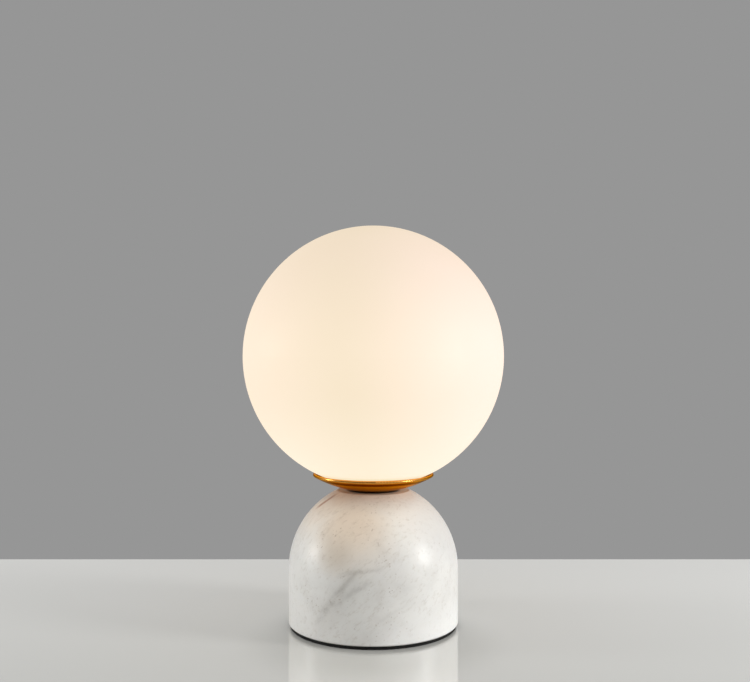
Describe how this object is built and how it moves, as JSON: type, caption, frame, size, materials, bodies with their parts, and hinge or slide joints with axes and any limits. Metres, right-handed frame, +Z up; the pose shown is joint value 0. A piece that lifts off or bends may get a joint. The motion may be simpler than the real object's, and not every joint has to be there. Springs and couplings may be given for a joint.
{
  "type": "glass globe table lamp",
  "caption": "Small table lamp: a lit opal glass globe rests in a shallow brass cup on a domed polished marble base with a thin black foot.",
  "frame": {"origin": "centre of the foot's underside, on the surface that the lamp stands on", "axes": "+Z up along the lamp's axis; +Y to the rear, where the cord enters; -Y to the front; +X to the right seen from the front"},
  "size_m": [0.2, 0.2, 0.3065],
  "materials": {
    "marble": "polished",
    "foot_foam": "matte",
    "brass": "polished",
    "opal_glass": "satin",
    "silicone": "satin",
    "zinc_steel": "satin",
    "contact_brass": "satin",
    "black_plastic": "satin",
    "natural_nylon": "satin",
    "porcelain": "gloss",
    "brown_insulation": "satin",
    "blue_insulation": "satin",
    "green_yellow_insulation": "satin",
    "nickel": "satin",
    "dark_glass": "gloss",
    "white_plastic": "satin",
    "board_aluminium": "satin",
    "bulb_diffuser": "satin"
  },
  "bodies": {
    "base": {"marble_base": "marble", "foot_pad": "foot_foam", "brass_cup": "brass", "locating_collar": "brass", "upper_nut": "brass", "globe_gasket": "silicone", "bottom_cover": "zinc_steel", "cover_screws": "zinc_steel", "chassis_plate": "zinc_steel", "cord_grip_screws": "zinc_steel", "block_screw": "zinc_steel", "earth_screw": "zinc_steel", "threaded_tube": "zinc_steel", "lower_washer": "zinc_steel", "lower_nut": "zinc_steel", "upper_washer": "zinc_steel", "cover_anchors": "contact_brass", "terminal_sleeves": "contact_brass", "terminal_screws": "contact_brass", "earth_lug": "contact_brass", "contact_sleeve": "contact_brass", "centre_contact": "contact_brass", "holder_terminals": "contact_brass", "holder_terminal_screws": "contact_brass", "cord_bushing": "black_plastic", "cord_grip_block": "black_plastic", "cord_grip_bar": "black_plastic", "holder_cap": "black_plastic", "holder_shell": "black_plastic", "terminal_block": "natural_nylon", "holder_insert": "porcelain", "wire_live": "brown_insulation", "wire_neutral": "blue_insulation", "wire_earth": "green_yellow_insulation"},
    "globe": {"glass_globe_lower": "opal_glass", "glass_globe_upper": "opal_glass"},
    "bulb_carriage": {"bulb_tip_contact": "nickel"},
    "bulb": {"bulb_insulator": "dark_glass", "bulb_screw_cap": "nickel", "bulb_housing": "white_plastic", "led_board": "board_aluminium", "bulb_diffuser": "bulb_diffuser"}
  },
  "joints": [
    {"name": "globe_lift", "type": "slide", "parent": "base", "child": "globe", "axis": [0, 0, 1], "range_m": [0, 0.12]},
    {"name": "bulb_lift", "type": "slide", "parent": "base", "child": "bulb_carriage", "axis": [0, 0, 1], "range_m": [0, 0.0142]},
    {"name": "bulb_turn", "type": "hinge", "parent": "bulb_carriage", "child": "bulb", "pos_m": [0, 0, 0.148], "axis": [0, 0, 1], "range_deg": [0, 1800]}
  ],
  "couplings": [
    {"joint": "bulb_lift", "follows": "bulb_turn", "m_per_rad": 0.00044882}
  ]
}
